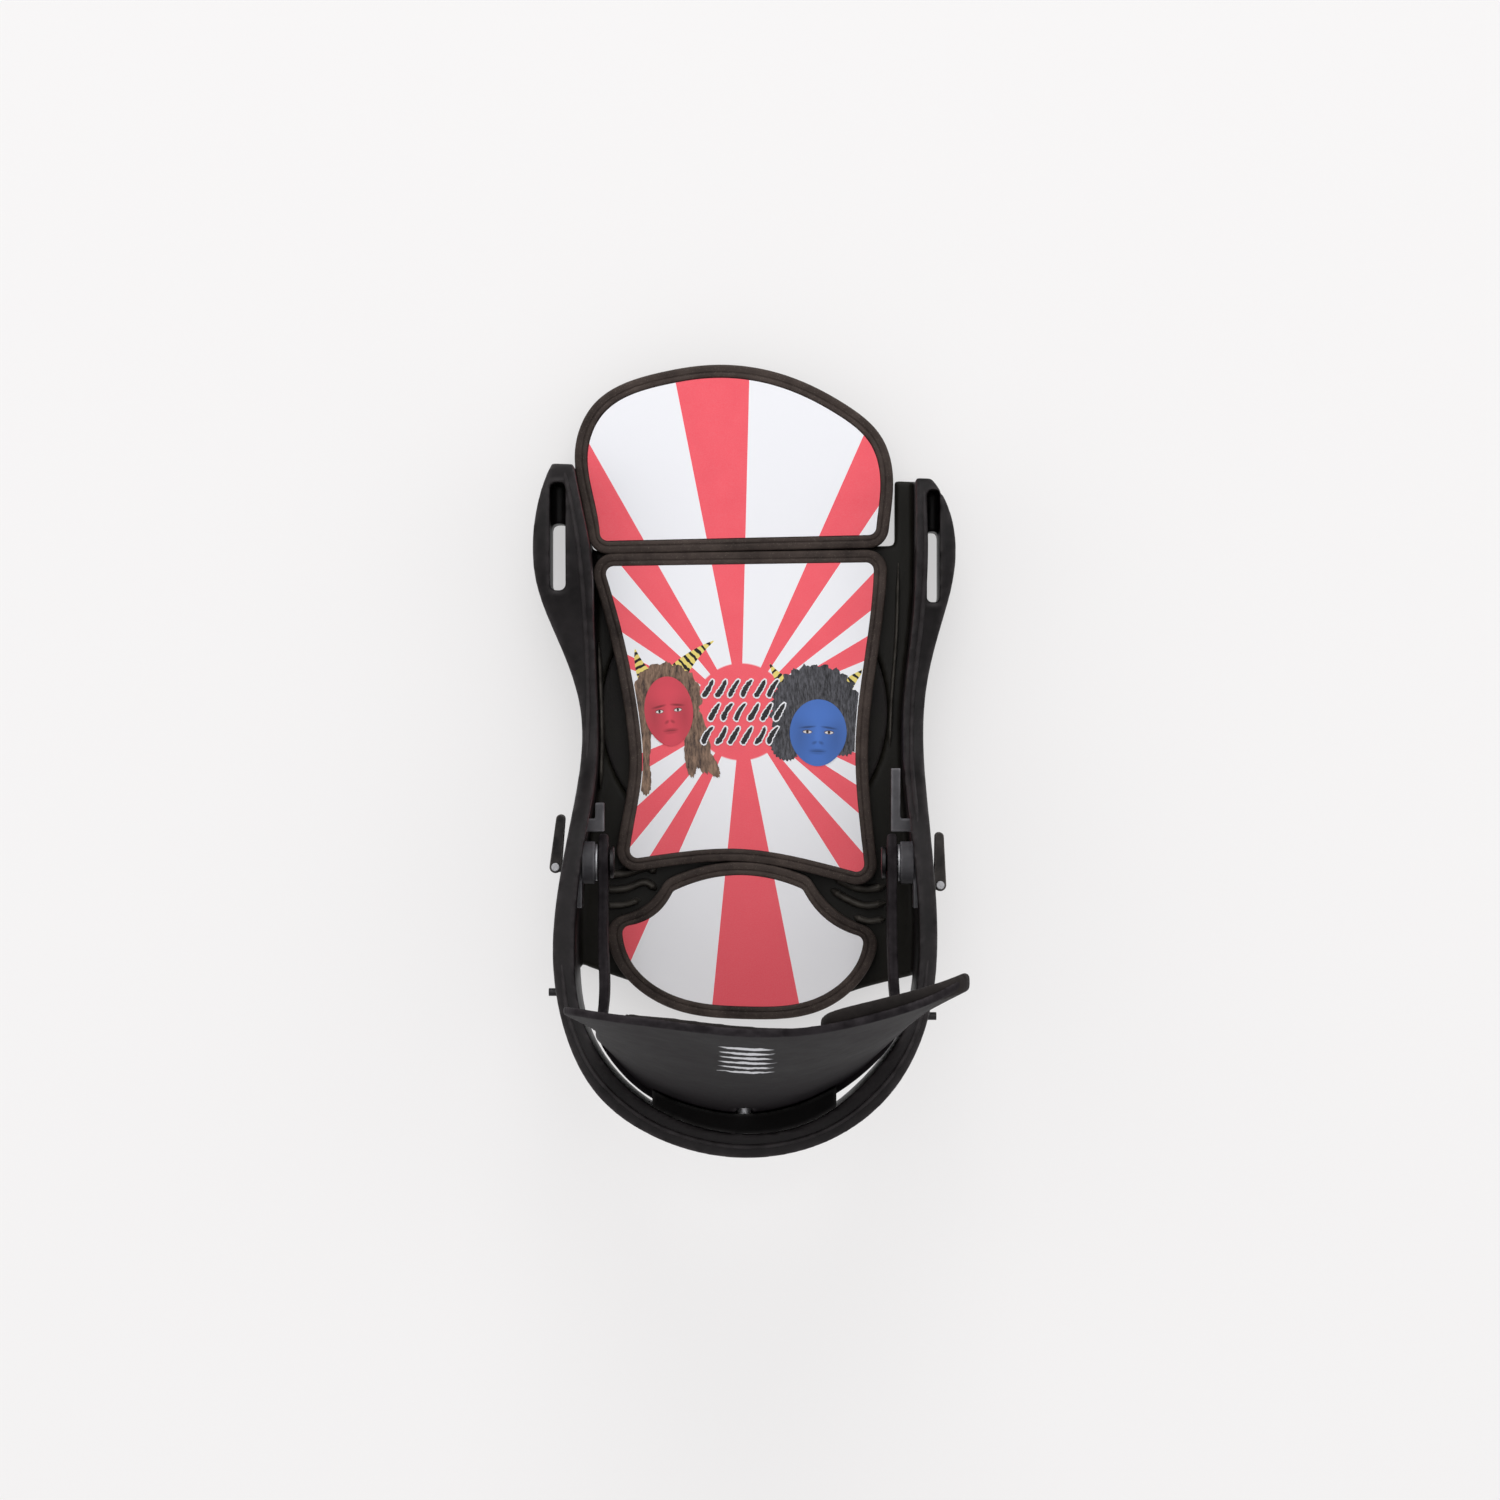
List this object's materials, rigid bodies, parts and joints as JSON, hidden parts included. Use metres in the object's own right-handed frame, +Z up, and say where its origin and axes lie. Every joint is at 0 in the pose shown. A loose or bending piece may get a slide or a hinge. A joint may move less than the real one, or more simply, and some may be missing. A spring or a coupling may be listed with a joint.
{
  "type": "snowboard binding",
  "caption": "Strapless snowboard binding for a right foot: one-piece base with heel loop, folding highback, printed footbed pads, sliding toe ramp and turning disc.",
  "frame": {"origin": "centre of the mounting disc on the board's top surface", "axes": "+Y to the toe, +X to the outer side of the right foot, +Z up from the board"},
  "size_m": [0.1604, 0.2976, 0.2796],
  "materials": {
    "nylon": "satin moulded, fine grain",
    "nylon_disc": "satin moulded",
    "nylon_ramp": "satin moulded",
    "shell_nylon": "smooth satin",
    "block_nylon": "satin",
    "slider_nylon": "satin grey",
    "lever_nylon": "satin",
    "foam": "closed-cell foam",
    "rubber_rim": "fine speckled foam rubber",
    "print_toe": "printed film, satin gloss",
    "print_centre": "printed film, satin gloss",
    "print_heel": "printed film, satin gloss",
    "steel": "zinc plated",
    "steel_black": "black oxide"
  },
  "bodies": {
    "base": {"baseplate": "nylon", "base_pad_front": "foam", "base_pad_rear": "foam", "heel_pad": "rubber_rim", "heel_sheet": "print_heel", "side_peg_inner": "steel_black", "side_peg_outer": "steel_black", "hinge_slider_inner": "slider_nylon", "hinge_slider_outer": "slider_nylon", "pivot_washer_inner": "steel", "pivot_washer_outer": "steel", "pivot_stud_inner": "steel_black", "pivot_stud_outer": "steel_black", "cam_bolt_inner": "steel", "cam_bolt_outer": "steel"},
    "disc": {"mounting_disc": "nylon_disc"},
    "toe_ramp": {"toe_ramp": "nylon_ramp", "toe_ramp_screws": "steel", "toe_pad": "rubber_rim", "toe_sheet": "print_toe"},
    "footbed_flap": {"centre_pad": "rubber_rim", "centre_sheet": "print_centre"},
    "highback": {"highback_shell": "shell_nylon", "highback_pad": "foam", "highback_wing_pad": "foam"},
    "lean_block": {"lean_block": "block_nylon", "lean_screw": "steel", "lean_nut": "steel"},
    "lever_inner": {"cam_lever_inner": "lever_nylon", "lever_pin_inner": "steel"},
    "lever_outer": {"cam_lever_outer": "lever_nylon", "lever_pin_outer": "steel"}
  },
  "joints": [
    {"name": "stance_turn", "type": "hinge", "parent": "base", "child": "disc", "pos_m": [0, 0, 0.008], "axis": [0, 0, 1], "continuous": true},
    {"name": "toe_ramp_slide", "type": "slide", "parent": "base", "child": "toe_ramp", "axis": [0, 1, 0], "range_m": [0, 0.012]},
    {"name": "footbed_lift", "type": "hinge", "parent": "base", "child": "footbed_flap", "pos_m": [0, 0.0605, 0.022], "axis": [-1, 0, 0], "range_deg": [0, 100]},
    {"name": "highback_fold", "type": "hinge", "parent": "base", "child": "highback", "pos_m": [0, -0.057, 0.057], "axis": [1, 0, 0], "range_deg": [-75, 0]},
    {"name": "lean_adjust", "type": "slide", "parent": "highback", "child": "lean_block", "axis": [0, 0.1628, 0.9867], "range_m": [0, 0.012]},
    {"name": "lever_inner_flip", "type": "hinge", "parent": "base", "child": "lever_inner", "pos_m": [-0.0713, -0.0588, 0.049], "axis": [0, 0, 1], "range_deg": [0, 100]},
    {"name": "lever_outer_flip", "type": "hinge", "parent": "base", "child": "lever_outer", "pos_m": [0.0739, -0.0656, 0.049], "axis": [0, 0, -1], "range_deg": [0, 100]}
  ]
}
